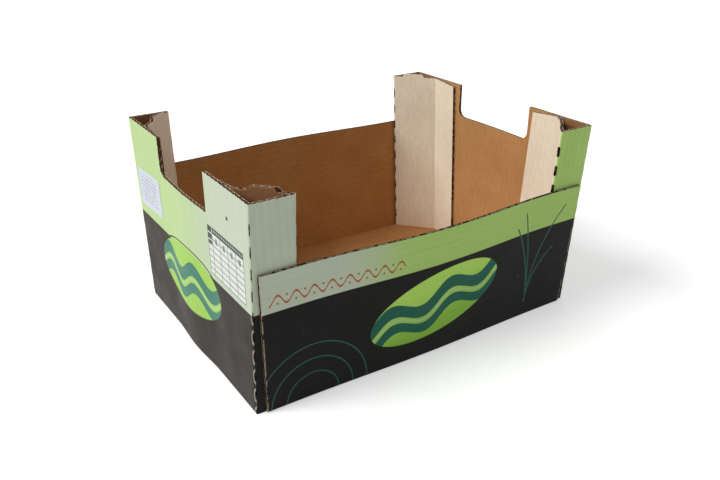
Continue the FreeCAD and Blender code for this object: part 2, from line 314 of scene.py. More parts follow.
def inside(point, outline):
    """True if a flat point lies in a closed outline."""
    x, y = point
    hit = False
    for (x0, y0), (x1, y1) in zip(outline, [*outline[1:], outline[0]]):
        if (y0 > y) != (y1 > y) and x < x0 + (y - y0) * (x1 - x0) / (y1 - y0):
            hit = not hit
    return hit


def slit_holes(run, half_width):
    """Lens-shaped cuts down one fold."""
    holes = []
    for number in range(SLIT_COUNT):
        middle = SLIT_TOP - number * SLIT_PITCH
        low, high = middle - SLIT_LENGTH / 2, middle + SLIT_LENGTH / 2
        holes.append([
            (run, low), (run + half_width, low + SLIT_TAPER), (run + half_width, high - SLIT_TAPER),
            (run, high), (run - half_width, high - SLIT_TAPER), (run - half_width, low + SLIT_TAPER),
        ])
    return holes


def cut_sheet(outline, holes, columns, rows):
    """Triangles inside an outline, without its holes, cut along columns and rows so that they can bend."""
    low = [min(point[axis] for point in outline) - CUT_MARGIN for axis in (0, 1)]
    high = [max(point[axis] for point in outline) + CUT_MARGIN for axis in (0, 1)]
    points, edges = [], []
    for loop in (outline, *holes):
        start = len(points)
        points += loop
        edges += [(start + index, start + (index + 1) % len(loop)) for index in range(len(loop))]
    for column in columns:
        edges.append((len(points), len(points) + 1))
        points += [(column, low[1]), (column, high[1])]
    for row in rows:
        edges.append((len(points), len(points) + 1))
        points += [(low[0], row), (high[0], row)]
    scaled = [Vector((x / MM, y / MM)) for x, y in points]
    found, _, faces = geometry.delaunay_2d_cdt(scaled, edges, [], INSIDE_TRIANGLES, CUT_TOLERANCE)[:3]
    flat = np.array(found) * MM
    kept = []
    for face in faces:
        middle = flat[face].mean(axis=0)
        if inside(middle, outline) and not any(inside(middle, hole) for hole in holes):
            kept.append(list(face))
    used = sorted({corner for face in kept for corner in face})
    number = {corner: index for index, corner in enumerate(used)}
    return flat[used], [[number[corner] for corner in face] for face in kept]


def counterclockwise(flat, faces):
    """Faces that all turn the same way on the flat sheet."""
    turned = []
    for face in faces:
        a, b, c = (flat[corner] for corner in face[:3])
        area = (b[0] - a[0]) * (c[1] - a[1]) - (b[1] - a[1]) * (c[0] - a[0])
        turned.append(face if area > 0 else face[::-1])
    return turned


def flute_depths(distance):
    """Near and far depth of the wavy paper."""
    swing = 0.5 - (PAPER + FLUTE_PAPER / 2) / BOARD
    middle = 0.5 + swing * np.cos(2 * math.pi * distance / FLUTE_PITCH)
    half = FLUTE_PAPER / 2 / BOARD
    return middle - half, middle + half


def end_top(run, upright, radius):
    """Height of the end sheet's top edge at a distance along it."""
    edge = CROWN_HALF - upright
    past_fillet = np.clip(run - (edge - radius), 0, radius)
    notch = NOTCH_FLOOR + radius - np.sqrt(radius ** 2 - past_fillet ** 2)
    lug = np.interp(np.abs(run - LUG_MIDDLE), [LUG_CROWN / 2, LUG_FOOT / 2], [LUG_RISE, 0])
    fall = np.interp(run, [TAB_START, TAB_STOP], [0, TAB_FALL])
    return np.where(run < edge, notch, POST_HEIGHT + lug - fall)


def end_notches(side):
    """Width of the upright and radius of the notch at the front and back corner of one end."""
    sharp = (SHARP_UPRIGHT_WIDTH, SHARP_NOTCH_RADIUS)
    usual = (UPRIGHT_WIDTH, NOTCH_RADIUS)
    return (sharp, usual) if side < 0 else (usual, usual)


def add_end_flutes(piece, place, side, corner, upright, radius):
    """Wavy paper of an end sheet from its middle to the front (-1) or back (1) tab, panel by panel."""
    edge = CROWN_HALF - upright
    panels = [(0, edge - UPRIGHT_GAP), (edge + UPRIGHT_GAP, WALL_END), (STRIP_START, STRIP_END),
              (WEB_START, TAB_START), (TAB_START, TAB_STOP)]
    for start, stop in panels:
        steps = max(2, round((stop - start) / FLUTE_PITCH * FLUTE_STEPS))
        run = np.linspace(start, stop, steps + 1)
        foot = FLUTE_FOOT if stop <= WALL_END else BOARD
        levels = [np.full_like(run, level) for level in (foot, *FLUTE_LEVELS)]
        levels.append(end_top(run, upright, radius))
        flat = np.column_stack([np.tile(corner * run, len(levels)), np.concatenate(levels)])
        faces = flip(grid(len(run), len(levels)), corner * side < 0)
        near, far = flute_depths(np.tile(run, len(levels)))
        add_layer(piece, place, flat, faces, near, far, [FLUTES] * len(faces), FLUTES, END_EDGE)


def make_end(name, side, materials):
    """End wall with the strip, web and glue tab of both its corners, at the left (-1) or right (1) end."""
    piece = Piece()
    place = place_end(side)
    front, back = end_notches(side)
    front_half = [(-run, height) for run, height in half_end_outline(*front)]
    outline = [*half_end_outline(*back), *front_half[-2:0:-1]]
    holes = []
    for corner in (-1, 1):
        holes += slit_holes(corner * CORNER, CORNER_SLIT) + slit_holes(corner * STRIP_CORNER, STRIP_SLIT)
    half = [*np.arange(0, WALL_END, WALL_STEP), *FOLD_LINES,
            *np.linspace(WEB_START, TAB_START, WEB_LINES)[1:],
            *np.linspace(TAB_START, TAB_STOP, TAB_LINES)[1:-1]]
    columns = sorted({*half, *[-run for run in half]})
    flat, faces = cut_sheet(outline, holes, columns, END_ROWS)
    # The flat sheet's left is the front corner. Seen from outside, that is so at the right end only.
    faces = flip(counterclockwise(flat, faces), side < 0)
    middles = np.array([np.abs(flat[face, 0]).mean() for face in faces])
    printed = np.where(middles < STRIP_CORNER, END_PRINT, WHITE_PAPER).tolist()
    add_layer(piece, place, flat, faces, 0, SKIN, printed, FLUTES, END_EDGE)
    add_layer(piece, place, flat, faces, 1 - SKIN, 1, [FLUTES] * len(faces), END_KRAFT, END_EDGE)
    add_end_flutes(piece, place, side, -1, *front)
    add_end_flutes(piece, place, side, 1, *back)
    return piece.finish(name, materials)


def side_edge(height, rim):
    """Half the length of a side wall at a height."""
    setback = SETBACK_FOOT + (SETBACK_RIM - SETBACK_FOOT) * height / rim
    return HALF_LENGTH - setback


def make_side(name, side, rim, materials):
    """Front (-1) or back (1) wall, up to its rim."""
    piece = Piece()
    place = place_side(side, rim)

    def sheet(columns, heights):
        shares = np.linspace(-1, 1, columns)
        flat = np.array([(share * side_edge(height, rim), height) for height in heights for share in shares])
        return flat, flip(grid(columns, len(heights)), side > 0)

    flat, faces = sheet(SIDE_COLUMNS, [0, FOLD_BEVEL, *np.linspace(0, rim, SIDE_ROWS)[1:]])
    add_layer(piece, place, flat, faces, 0, SKIN, [SIDE_PRINT] * len(faces), FLUTES, SIDE_EDGE)
    add_layer(piece, place, flat, faces, 1 - SKIN, 1, [FLUTES] * len(faces), SIDE_KRAFT, SIDE_EDGE)
    steps = round(rim / FLUTE_PITCH * FLUTE_STEPS)
    flat, faces = sheet(FLUTE_COLUMNS, np.linspace(FLUTE_FOOT, rim, steps + 1))
    near, far = flute_depths(flat[:, 1] - rim)
    torn = flat[faces, 1].mean(axis=1) > rim - TORN_RIM
    slots = np.where(torn, SIDE_EDGE, FLUTES).tolist()
    add_layer(piece, place, flat, faces, near, far, slots, FLUTES, FLUTES)
    return piece.finish(name, materials)


def base_outline():
    """Outline of the base panel, which ends inside the walls that fold up from it."""
    end = HALF_LENGTH - FOLD_BEVEL
    side = FOOT_HALF + BOARD - FOLD_BEVEL
    corner = FOOT_HALF - BOARD
    step = HALF_LENGTH - SETBACK_FOOT
    bowed = HALF_LENGTH - STRIP_WIDTH
    quarter = []
    for across in np.linspace(0, FOOT_HALF - TAB_END, BASE_END_POINTS):
        quarter.append((end + float(end_bow(across, 0)), across))
    quarter += [(end, corner), (step, corner), (step, side)]
    for along in np.linspace(bowed, 0, BASE_SIDE_POINTS):
        quarter.append((along, side + SIDE_BOW_FOOT * float(smooth_bump(along / bowed))))
    half = quarter + [(-x, y) for x, y in quarter[-2::-1]]
    return half + [(x, -y) for x, y in half[-2:0:-1]]


def make_base(materials):
    """Base panel as one closed sheet, because all its edges are folds."""
    piece = Piece()
    flat, faces = cut_sheet(base_outline(), [], BASE_COLUMNS, BASE_ROWS)
    faces = flip(counterclockwise(flat, faces))
    add_layer(piece, place_base, flat, faces, 0, 1, [WHITE_PAPER] * len(faces), SIDE_KRAFT, SIDE_EDGE)
    return piece.finish("base_panel", materials)


def ink(red, green, blue):
    """Colour from its screen values, 0 to 255, as the shader wants it."""
    def linear(part):
        part /= 255
        return part / 12.92 if part <= 0.04045 else ((part + 0.055) / 1.055) ** 2.4
    return (linear(red), linear(green), linear(blue), 1)


# Inks. A badge has the lime at its top, the lime at its bottom and the green of its bands.
PALE_PRINT = ink(196, 206, 184)
SIDE_GREEN = ink(175, 209, 116)
END_GREEN = ink(186, 212, 146)
BLACK_PRINT = ink(22, 20, 19)
END_BLACK = ink(42, 33, 27)
SIDE_BADGE_INKS = ink(184, 228, 104), ink(146, 198, 76), ink(40, 100, 84)
END_BADGE_INKS = ink(162, 206, 92), ink(158, 202, 88), ink(70, 126, 108)
LINE_GREY = ink(178, 206, 160)
OUTLINE = ink(52, 60, 46)
TEAL = ink(44, 98, 84)
RUST = ink(178, 90, 54)
FORM_PAPER = ink(222, 225, 218)
FORM_INK = ink(62, 78, 68)
SCUFF = ink(168, 163, 150)
LABEL_WHITE = ink(205, 211, 222)
LABEL_GREY = ink(160, 167, 184)

# Bare papers, each with its pale and its dark tone
WHITE_TONES = ink(244, 232, 211), ink(233, 218, 194)
SIDE_KRAFT_TONES = ink(190, 138, 84), ink(177, 125, 73)
END_KRAFT_TONES = ink(193, 143, 91), ink(180, 130, 79)
# Painted shade on the kraft inside the posts' hollows
POST_HOLLOW_SHADE = ink(128, 88, 66)
# Paper inside the board, darkened with painted shade of the flute hollows
SHADED_FLUTE_TONES = ink(112, 76, 46), ink(78, 50, 30)
# The cut edges' dark tones are painted shade of the open flutes
SIDE_EDGE_FIBRE_AND_SHADE = ink(204, 188, 160), ink(52, 34, 22)
END_EDGE_FIBRE_AND_SHADE = ink(222, 200, 172), ink(84, 54, 34)

# Layout of the print: across from the middle of a wall, up from the floor
BAND_HEIGHT = 107.3 * MM
SOFT_EDGE = 0.5 * MM
SIDE_BLEND = -118 * MM, -26 * MM
END_BLEND = -40 * MM, 100 * MM
STRIP_BLEND = -FOOT_HALF - 12 * MM, -FOOT_HALF
CORNER_BLEND = 1 * MM

# Badges: centre, tilt in degrees, half length, half height
SIDE_BADGE = (0.5 * MM, 62 * MM), 12, 80 * MM, 36 * MM
END_BADGE = (-3 * MM, 80 * MM), 3, 76 * MM, 35.5 * MM
BADGE_SHADING = -0.8, 0.7
OUTLINE_OFFSET, OUTLINE_WIDTH = 2 * MM, 1.5 * MM

# Rolling bands of a badge: middle and width of two broad ones and of a fine line between them
ROLL_PITCH = 72 * MM
ROLL_SWING = 8 * MM
ROLL_BANDS = (8 * MM, 15 * MM), (-13 * MM, 12 * MM), (-3 * MM, 2 * MM)

# Running wave with a dot in each hollow
WAVE_SPAN = -184 * MM, -44 * MM
WAVE_MIDDLE = 118.5 * MM
WAVE_PITCH = 18 * MM
WAVE_SWING = 4.6 * MM
WAVE_WIDTH = 2.2 * MM
DOT_OFFSET = 3.4 * MM
DOT_RADIUS = 1.1 * MM

# Nested arcs, and a fan of arcs that grow from one foot. A fan's arc is (way, radius, top).
NEST_ACROSS = -140 * MM
NEST_RADII = 28 * MM, 44 * MM, 60 * MM
NEST_LINE = 1.3 * MM
FAN_ACROSS, FAN_FOOT = 130 * MM, 18 * MM
FAN_ARCS = (1, 75 * MM, 80 * MM), (1, 160 * MM, 128 * MM), (-1, 200 * MM, 116 * MM), (-1, 420 * MM, 132 * MM)
FAN_LINE = 1.6 * MM

# Small dark mark on the uprights, and the paper lifted beside each slit of the corner fold
MARK_ACROSS, MARK_UP = 103.7 * MM, 184.1 * MM
MARK_SIZE = 2.1 * MM, 1.9 * MM
LIFTED_SIZE = 2.8 * MM, 6.6 * MM
LIFTED_LINE = 1.2 * MM

# Wear of the ink: noise scale and detail, noise value where it starts and where it is full, strength
SPECKS = 260, 1, 0.82, 0.85, 0.6
SIDE_RUB = 150, 3, 0.4, 0.5, 0.7
END_RUB = 180, 3, 0.5, 0.62, 0.5
RUB_WIDTH = 0.9 * MM

# Noise: its detail, its scales in cells per metre, and how it is stretched along X, Y and Z.
# Most of it lies in the usual range.
DETAIL = 3
USUAL_NOISE = 0.25, 0.75
PATCH_SCALE = 35
FIBRE_SCALE = 900
STREAK_SCALE = 60
SIDE_STREAK = (0.15, 1, 12)
END_STREAK = (1, 12, 0.15)
BLOTCH_SCALE = 22
GRAIN_SCALE = 420
UPRIGHT_GRAIN = (1, 1, 0.3)
LENGTHWISE_GRAIN = (0.3, 1, 1)
PAPER_CONTRAST = 0.35, 0.68

# Strengths of streaks, ribs and fibres, in the colour (tone) and in the bump (relief). The ribs' strength in
# the colour is painted shade of their relief.
SIDE_STREAK_TONE = 0.24
END_STREAK_TONE = 0.2
STRIP_RIB_SHADE = 0.02
PAPER_RIB_SHADE = 0.08
SIDE_RIB_RELIEF = 0.22
WALL_RIB_RELIEF = 0.08
STRIP_RIB_RELIEF = 0.8
PAPER_RIB_RELIEF = 0.3
FIBRE_RELIEF = 0.4

# Distances from the corner fold between which the strips' stronger ribs come in
STRIP_RIB_START = -2 * MM, 6 * MM

# Painted shade on the kraft inside the posts' hollows: where it starts and is full, and its strength
POST_SHADE_REACH = WALL_FLAT + 25 * MM, WALL_FLAT + 38 * MM
POST_SHADE_STRENGTH = 0.6

# Cut edges: fibre is pale where a noise passes a bar, which is given at the sides and on top. Elsewhere the
# dark tone is painted shade of the open flutes.
TORN_SCALE = 210
TORN_DETAIL = 2
TORN_BLEND = 0.03
TOP_FACING = 0.3, 0.7
SIDE_EDGE_BARS = 0.425, 0.675
END_EDGE_BARS = 0.5, 0.38

# Gloss and relief: a roughness range, and the depth of the bump
PRINT_SPECULAR = 0.09
PAPER_SPECULAR = 0.2
LABEL_SPECULAR = 0.3
SIDE_ROUGHNESS = 0.42, 0.58
END_ROUGHNESS = 0.38, 0.52
PAPER_ROUGHNESS = 0.78, 0.92
EDGE_ROUGHNESS = 0.85, 0.95
LABEL_ROUGHNESS = 0.35, 0.5
PRINT_RELIEF = 0.12 * MM
PAPER_RELIEF = 0.1 * MM
EDGE_RELIEF = 0.2 * MM
LABEL_RELIEF = 0.03 * MM

# Sockets of a Mix node that is set to colours
MIX_SHARE, MIX_UNDER, MIX_OVER, MIX_RESULT = 0, 6, 7, 2


class Value:
    """A number or a colour that the nodes of one material work out. Arithmetic on it adds nodes."""

    def __init__(self, surface, socket):
        self.surface, self.socket = surface, socket

    def __add__(self, other):
        return self.surface.math("ADD", self, other)

    def __sub__(self, other):
        return self.surface.math("SUBTRACT", self, other)

    def __rsub__(self, other):
        return self.surface.math("SUBTRACT", other, self)

    def __mul__(self, other):
        return self.surface.math("MULTIPLY", self, other)

    def __truediv__(self, other):
        return self.surface.math("DIVIDE", self, other)


class Surface:
    """One node material, with the small functions that its fields of colour are made of."""

    def __init__(self, name, specular):
        self.material = bpy.data.materials.new(name)
        self.material.use_nodes = True
        self.nodes = self.material.node_tree.nodes
        self.links = self.material.node_tree.links
        self.shader = self.nodes["Principled BSDF"]
        self.shader.inputs["Specular IOR Level"].default_value = specular
        print_map = self.nodes.new("ShaderNodeUVMap")
        print_map.uv_map = "print"
        self.across, self.up, _ = self.split(print_map.outputs["UV"])
        coordinates = self.nodes.new("ShaderNodeTexCoord")
        self.place = coordinates.outputs["Object"]
        self.facing = coordinates.outputs["Normal"]

    def split(self, socket):
        """The three parts of a vector."""
        node = self.nodes.new("ShaderNodeSeparateXYZ")
        self.links.new(socket, node.inputs[0])
        return [Value(self, output) for output in node.outputs]

    def feed(self, socket, given):
        """Link a worked-out value to a socket, or set a plain one on it."""
        if isinstance(given, Value):
            self.links.new(given.socket, socket)
        else:
            socket.default_value = given

    def math(self, operation, *given, clamp=False):
        node = self.nodes.new("ShaderNodeMath")
        node.operation = operation
        node.use_clamp = clamp
        for socket, value in zip(node.inputs, given):
            self.feed(socket, value)
        return Value(self, node.outputs[0])

    def length(self, x, y):
        return self.math("SQRT", x * x + y * y)

    def fill(self, distance):
        """1 where a distance is negative, 0 where it is positive, with a short blend."""
        return self.math("MULTIPLY_ADD", distance, -1 / SOFT_EDGE, 0.5, clamp=True)

    def stroke(self, distance, width):
        """A line of a width where a distance is near nothing."""
        return self.fill(self.math("ABSOLUTE", distance) - width / 2)

    def ramp(self, value, low, high):
        """0 at low, 1 at high, smooth between."""
        node = self.nodes.new("ShaderNodeMapRange")
        node.interpolation_type = "SMOOTHSTEP"
        self.feed(node.inputs["Value"], value)
        node.inputs["From Min"].default_value = low
        node.inputs["From Max"].default_value = high
        return Value(self, node.outputs["Result"])

    def between(self, value, low, high):
        return self.fill(low - value) * self.fill(value - high)

    def box(self, left, right, low, high):
        """1 inside a rectangle of the print."""
        return self.between(self.across, left, right) * self.between(self.up, low, high)

    def either(self, one, other):
        return self.math("MAXIMUM", one, other)

    def repeat(self, value, pitch):
        """Distance from the nearest whole multiple of a pitch."""
        return self.math("PINGPONG", value, pitch / 2)

    def noise(self, scale, detail, stretch=(1, 1, 1)):
        mapping = self.nodes.new("ShaderNodeMapping")
        mapping.inputs["Scale"].default_value = stretch
        self.links.new(self.place, mapping.inputs["Vector"])
        node = self.nodes.new("ShaderNodeTexNoise")
        node.inputs["Scale"].default_value = scale
        node.inputs["Detail"].default_value = detail
        self.links.new(mapping.outputs[0], node.inputs["Vector"])
        return Value(self, node.outputs["Fac"])

    def turned(self, centre, tilt):
        """Print coordinates about a centre, turned by some degrees."""
        across, up = self.across - centre[0], self.up - centre[1]
        cosine, sine = math.cos(math.radians(tilt)), math.sin(math.radians(tilt))
        return across * cosine + up * sine, up * cosine - across * sine

    def oval(self, along, up, half_length, half_height):
        """Rough distance from an oval's edge, less than nothing inside it."""
        return (self.length(along / half_length, up / half_height) - 1) * min(half_length, half_height)

    def mix(self, share, under, over):
        """One colour laid over another by a share."""
        node = self.nodes.new("ShaderNodeMix")
        node.data_type = "RGBA"
        self.feed(node.inputs[MIX_SHARE], share)
        self.feed(node.inputs[MIX_UNDER], under)
        self.feed(node.inputs[MIX_OVER], over)
        return Value(self, node.outputs[MIX_RESULT])

    def shade(self, colour, factor):
        """Colour made lighter or darker by a factor."""
        node = self.nodes.new("ShaderNodeVectorMath")
        node.operation = "SCALE"
        self.feed(node.inputs[0], colour)
        self.feed(node.inputs["Scale"], factor)
        return Value(self, node.outputs[0])

    def badge(self, under, centre, tilt, half_length, half_height, inks):
        """Oval field with two rolling bands and a fine line between them."""
        top, bottom, green = inks
        along, rise = self.turned(centre, tilt)
        edge = self.oval(along, rise, half_length, half_height)
        in_band = 1 - self.fill(self.up - BAND_HEIGHT)
        colour = self.mix(self.stroke(edge - OUTLINE_OFFSET, OUTLINE_WIDTH) * in_band, under, OUTLINE)
        low, high = (share * half_height for share in BADGE_SHADING)
        field = self.mix(self.ramp(rise, low, high), bottom, top)
        roll = self.math("SINE", along * (2 * math.pi / ROLL_PITCH)) * ROLL_SWING
        for (middle, width), paint in zip(ROLL_BANDS, (green, green, LINE_GREY)):
            field = self.mix(self.stroke(rise - roll - middle, width), field, paint)
        return self.mix(self.fill(edge), colour, field)

    def ribs(self, distance):
        """Wave that the glued paper below prints through, along the flutes. It makes the relief, and painted
        shade of that relief where it tints a colour.
        """
        return self.math("COSINE", distance * (2 * math.pi / FLUTE_PITCH))

    def fibres(self):
        return self.noise(FIBRE_SCALE, DETAIL)

    def streaks(self, stretch, strength):
        """Factor about 1 that changes in streaks."""
        return self.noise(STREAK_SCALE, DETAIL, stretch) * strength + (1 - strength / 2)

    def scuff(self, colour, wear, mask=1):
        """Ink worn off in patches, inside a mask."""
        scale, detail, start, full, strength = wear
        patches = self.ramp(self.noise(scale, detail), start, full)
        return self.mix(patches * mask * strength, colour, SCUFF)

    def finish(self, colour, roughness, relief, depth):
        """Set the shader: a colour, a roughness range broken up by soft patches, and a fine relief."""
        low, high = roughness
        noise_low, noise_high = USUAL_NOISE
        slope = (high - low) / (noise_high - noise_low)
        patches = self.noise(PATCH_SCALE, DETAIL) * slope + (low - slope * noise_low)
        self.feed(self.shader.inputs["Base Color"], colour)
        self.feed(self.shader.inputs["Roughness"], patches)
        node = self.nodes.new("ShaderNodeBump")
        node.inputs["Distance"].default_value = depth
        self.feed(node.inputs["Height"], relief)
        self.links.new(node.outputs[0], self.shader.inputs["Normal"])
        return self.material


def running_wave(surface, under):
    """Running wave with a dot in each hollow, on the pale end of the band."""
    across, rise = surface.across, surface.up - WAVE_MIDDLE
    sway = surface.math("SINE", across * (2 * math.pi / WAVE_PITCH)) * WAVE_SWING
    wave = surface.stroke(rise - sway, WAVE_WIDTH)
    for sign in (-1, 1):
        aside = surface.repeat(across + sign * WAVE_PITCH / 4, WAVE_PITCH)
        dot = surface.fill(surface.length(aside, rise - sign * DOT_OFFSET) - DOT_RADIUS)
        wave = surface.either(wave, dot)
    return surface.mix(wave * surface.between(across, *WAVE_SPAN), under, RUST)


def nested_arcs(surface, colour):
    """Half rings that stand on the floor at the left."""
    for radius in NEST_RADII:
        ring = surface.length(surface.across - NEST_ACROSS, surface.up) - radius
        colour = surface.mix(surface.stroke(ring, NEST_LINE), colour, TEAL)
    return colour


def fan_of_arcs(surface, colour):
    """Arcs at the right that lean left (-1) or right (1) as they rise."""
    across, up = surface.across, surface.up
    for way, radius, top in FAN_ARCS:
        arc = surface.length(across - FAN_ACROSS - way * radius, up - FAN_FOOT) - radius
        reach = surface.between(up, FAN_FOOT, top) * surface.fill((FAN_ACROSS - across) * way)
        colour = surface.mix(surface.stroke(arc, FAN_LINE) * reach, colour, TEAL)
    return colour


def side_print():
    """Print of the front and back walls."""
    surface = Surface("side_print", PRINT_SPECULAR)
    across, up = surface.across, surface.up
    band = surface.mix(surface.ramp(across, *SIDE_BLEND), PALE_PRINT, SIDE_GREEN)
    colour = surface.mix(surface.fill(up - BAND_HEIGHT), band, BLACK_PRINT)
    colour = running_wave(surface, colour)
    colour = nested_arcs(surface, colour)
    colour = fan_of_arcs(surface, colour)
    colour = surface.badge(colour, *SIDE_BADGE, SIDE_BADGE_INKS)

    # ink rubbed off along the upright edges
    setback = up * ((SETBACK_RIM - SETBACK_FOOT) / FRONT_HEIGHT) + SETBACK_FOOT
    from_edge = HALF_LENGTH - setback - surface.math("ABSOLUTE", across)
    colour = surface.scuff(colour, SIDE_RUB, surface.fill(from_edge - RUB_WIDTH))
    colour = surface.scuff(colour, SPECKS)
    colour = surface.shade(colour, surface.streaks(SIDE_STREAK, SIDE_STREAK_TONE))
    relief = surface.ribs(up) * SIDE_RIB_RELIEF + surface.fibres() * FIBRE_RELIEF
    return surface.finish(colour, SIDE_ROUGHNESS, relief, PRINT_RELIEF)


def blank_form(surface, under):
    """Ruled form: a heading block, a heading bar with dashes, a row of marks and empty cells."""
    left, right, low, high = 57 * MM, 132.5 * MM, 112.5 * MM, 162.5 * MM
    half_line, rim_width, bar, row_pitch, columns = 0.4 * MM, 1 * MM, 6 * MM, 6.3 * MM, 4
    block_width, block_height, block_gap = 9 * MM, 18 * MM, 1 * MM
    stripe, stripe_pitch = 1.3 * MM, 7 * MM
    dash_width, dash_height, dash_pitch = 1.6 * MM, 2.2 * MM, 3.7 * MM
    mark_width, mark_height, mark_drop = 5 * MM, 6 * MM, 6 * MM
    faint, firm = 0.7, 0.8
    inner = left + block_width + block_gap
    column_pitch = (right - inner) / columns
    across, up = surface.across, surface.up

    colour = surface.mix(surface.box(left, right, low, high), under, FORM_PAPER)
    row = surface.fill(surface.repeat(up - low, row_pitch) - half_line)
    column = surface.fill(surface.repeat(across - inner, column_pitch) - half_line)
    rules = surface.either(row, column) * surface.box(left, right, low, high - bar)
    hole = surface.box(left + rim_width, right - rim_width, low + rim_width, high - rim_width)
    rim = surface.box(left, right, low, high) - hole
    dashes = surface.stroke(surface.repeat(across, dash_pitch), dash_width)
    dashes = dashes * surface.stroke(up - high + bar / 2, dash_height)
    heading = surface.box(inner, right, high - bar, high) * (1 - dashes * faint)
    marks = surface.stroke(surface.repeat(across - inner - column_pitch / 2, column_pitch), mark_width)
    marks = marks * surface.stroke(up - high + bar + mark_drop, mark_height)
    marks = marks * surface.between(across, inner, right)
    stripes = surface.stroke(surface.repeat(up - high, stripe_pitch), stripe)
    block = surface.box(left, left + block_width, high - block_height, high) * (1 - stripes)
    drawn = surface.either(surface.either(rules, rim * firm), surface.either(heading, block))
    return surface.mix(surface.either(drawn, marks * faint), colour, FORM_INK)


def end_print():
    """Print of the end walls and the strips beside them."""
    surface = Surface("end_print", PRINT_SPECULAR)
    across, up = surface.across, surface.up
    band = surface.mix(surface.ramp(across, *END_BLEND), END_GREEN, PALE_PRINT)
    band = surface.mix(surface.ramp(across, *STRIP_BLEND), SIDE_GREEN, band)
    from_fold = surface.math("ABSOLUTE", across) - up * LEAN - FOOT_HALF
    black = surface.mix(surface.ramp(from_fold, -CORNER_BLEND, CORNER_BLEND), END_BLACK, BLACK_PRINT)
    colour = surface.mix(surface.fill(up - BAND_HEIGHT), band, black)
    colour = surface.badge(colour, *END_BADGE, END_BADGE_INKS)
    colour = blank_form(surface, colour)
    mark = surface.oval(across - MARK_ACROSS, up - MARK_UP, *MARK_SIZE)
    colour = surface.mix(surface.fill(mark), colour, OUTLINE)

    # paper lifted and rubbed along the corner fold
    from_slit = surface.repeat(up - SLIT_TOP, SLIT_PITCH)
    lifted = surface.stroke(surface.oval(from_fold, from_slit, *LIFTED_SIZE), LIFTED_LINE)
    lifted = lifted * surface.fill(from_fold) * surface.fill(up - BAND_HEIGHT)
    colour = surface.mix(lifted, colour, SCUFF)
    colour = surface.scuff(colour, END_RUB, surface.stroke(from_fold, RUB_WIDTH))
    colour = surface.scuff(colour, SPECKS)

    # the strips show their ribs more than the walls do, in the bump and as painted shade in the colour
    on_strip = surface.ramp(from_fold, *STRIP_RIB_START)
    ribs = surface.ribs(across)
    streaks = surface.streaks(END_STREAK, END_STREAK_TONE)
    colour = surface.shade(colour, streaks + ribs * on_strip * STRIP_RIB_SHADE)
    relief = ribs * (on_strip * STRIP_RIB_RELIEF + WALL_RIB_RELIEF) + surface.fibres() * FIBRE_RELIEF
    return surface.finish(colour, END_ROUGHNESS, relief, PRINT_RELIEF)


def plain_paper(name, tones, grain, rib_axis=None, post_shade_colour=None):
    """Unprinted paper with soft blotches and short fibres, its ribs as relief and as painted shade, and
    painted shade in the posts' hollows.
    """
    surface = Surface(name, PAPER_SPECULAR)
    pale, dark = tones
    fleck = surface.noise(BLOTCH_SCALE, DETAIL) * 0.5 + surface.noise(GRAIN_SCALE, DETAIL, grain) * 0.5
    share = surface.ramp(fleck, *PAPER_CONTRAST)
    relief = surface.fibres()
    if rib_axis:
        ribs = surface.ribs(getattr(surface, rib_axis))
        relief = relief + ribs * PAPER_RIB_RELIEF
        # painted shade of the ribs' relief
        share = share + ribs * PAPER_RIB_SHADE
    paper = surface.mix(share, dark, pale)
    if post_shade_colour:
        # painted shade on the kraft inside the posts' hollows
        hollow_shade_share = surface.ramp(surface.math("ABSOLUTE", surface.across), *POST_SHADE_REACH)
        paper = surface.mix(hollow_shade_share * POST_SHADE_STRENGTH, paper, post_shade_colour)
    return surface.finish(paper, PAPER_ROUGHNESS, relief, PAPER_RELIEF)


def cut_paper(name, tones, bars):
    """Cut edge of the paper: dashes of torn pale fibre with painted shade of the dark hollows between them.
    """
    surface = Surface(name, PAPER_SPECULAR)
    pale, dark = tones
    at_side, on_top = bars
    _, _, upright = surface.split(surface.facing)
    bar = surface.ramp(upright, *TOP_FACING) * (on_top - at_side) + at_side
    dashes = surface.ramp(surface.noise(TORN_SCALE, TORN_DETAIL) - bar, -TORN_BLEND, TORN_BLEND)
    return surface.finish(surface.mix(dashes, dark, pale), EDGE_ROUGHNESS, surface.fibres(), EDGE_RELIEF)


MATERIALS = [
    side_print(),
    end_print(),
    plain_paper("white_paper", WHITE_TONES, UPRIGHT_GRAIN, "across"),
    plain_paper("side_kraft", SIDE_KRAFT_TONES, LENGTHWISE_GRAIN, "up"),
    plain_paper("end_kraft", END_KRAFT_TONES, UPRIGHT_GRAIN, "across", POST_HOLLOW_SHADE),
    plain_paper("flute_paper_and_shade", SHADED_FLUTE_TONES, UPRIGHT_GRAIN),
    cut_paper("side_edge", SIDE_EDGE_FIBRE_AND_SHADE, SIDE_EDGE_BARS),
    cut_paper("end_edge", END_EDGE_FIBRE_AND_SHADE, END_EDGE_BARS),
]

make_end("left_end_sheet", -1, MATERIALS)
make_end("right_end_sheet", 1, MATERIALS)
make_side("front_wall_sheet", -1, FRONT_HEIGHT, MATERIALS)
make_side("back_wall_sheet", 1, BACK_HEIGHT, MATERIALS)
make_base(MATERIALS)

# Label, with faint bars about its middle
LABEL_TILT = math.radians(3)
LABEL_BAR = 1.4 * MM
LABEL_BAR_PITCH = 4.2 * MM
LABEL_BAR_SPAN = -22 * MM, 26 * MM
LABEL_BAR_REACH = 16 * MM
LABEL_FADE_SCALE = 120
LABEL_FADE = 0.35, 0.5
LABEL_FIBRE_SCALE = 600
LABEL_DETAIL = 2


